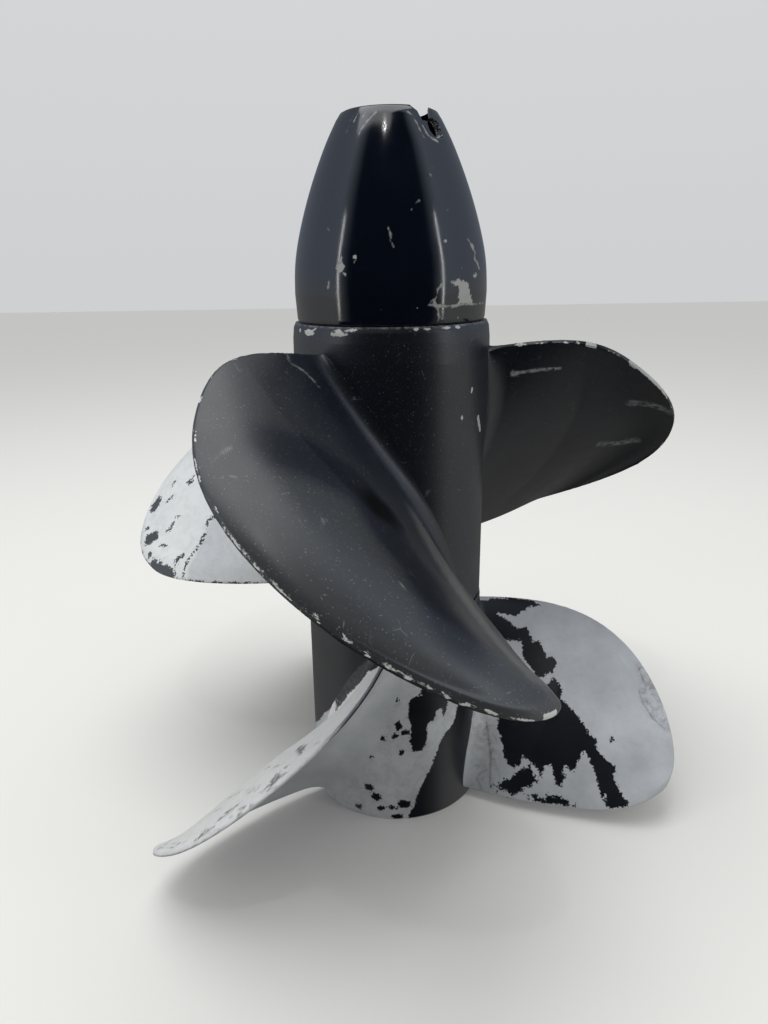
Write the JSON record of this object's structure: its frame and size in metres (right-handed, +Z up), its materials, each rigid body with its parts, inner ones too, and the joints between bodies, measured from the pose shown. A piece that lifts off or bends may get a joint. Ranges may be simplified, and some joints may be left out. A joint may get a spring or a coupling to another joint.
{
  "type": "boat propeller pair",
  "caption": "Contra-turning boat propellers with twisted blades on hollow hubs, one standing on the other, under a hollow tapering tail cone.",
  "frame": {"origin": "on the shaft axis at the lower hub's foot, where the pair stands", "axes": "+Z up along the shaft from the lower hub to the tail cone; the picture looks along +Y, with +X to its right"},
  "size_m": [0.3618, 0.3728, 0.4157],
  "materials": {
    "lower_casting": "bare grey metal with much black paint peeled away",
    "upper_casting": "satin black paint, chipped along the edges",
    "rubber": "matt black",
    "sleeve_metal": "machined, dulled",
    "cone_shell": "glossy black, scratched"
  },
  "bodies": {
    "lower_propeller": {"lower_hub_shell": "lower_casting", "lower_inner_hub": "lower_casting", "lower_rib_1": "lower_casting", "lower_rib_2": "lower_casting", "lower_rib_3": "lower_casting", "lower_blade_1": "lower_casting", "lower_blade_2": "lower_casting", "lower_blade_3": "lower_casting", "lower_rubber_bush": "rubber", "lower_splined_sleeve": "sleeve_metal"},
    "upper_propeller": {"upper_hub_shell": "upper_casting", "upper_inner_hub": "upper_casting", "upper_rib_1": "upper_casting", "upper_rib_2": "upper_casting", "upper_rib_3": "upper_casting", "upper_blade_1": "upper_casting", "upper_blade_2": "upper_casting", "upper_blade_3": "upper_casting", "upper_rubber_bush": "rubber", "upper_splined_sleeve": "sleeve_metal", "tail_cone": "cone_shell", "cone_thread_insert": "sleeve_metal"}
  },
  "joints": [
    {"name": "upper_propeller_spin", "type": "hinge", "parent": "lower_propeller", "child": "upper_propeller", "pos_m": [0, 0, 0.1373], "axis": [0, 0, 1], "continuous": true}
  ]
}
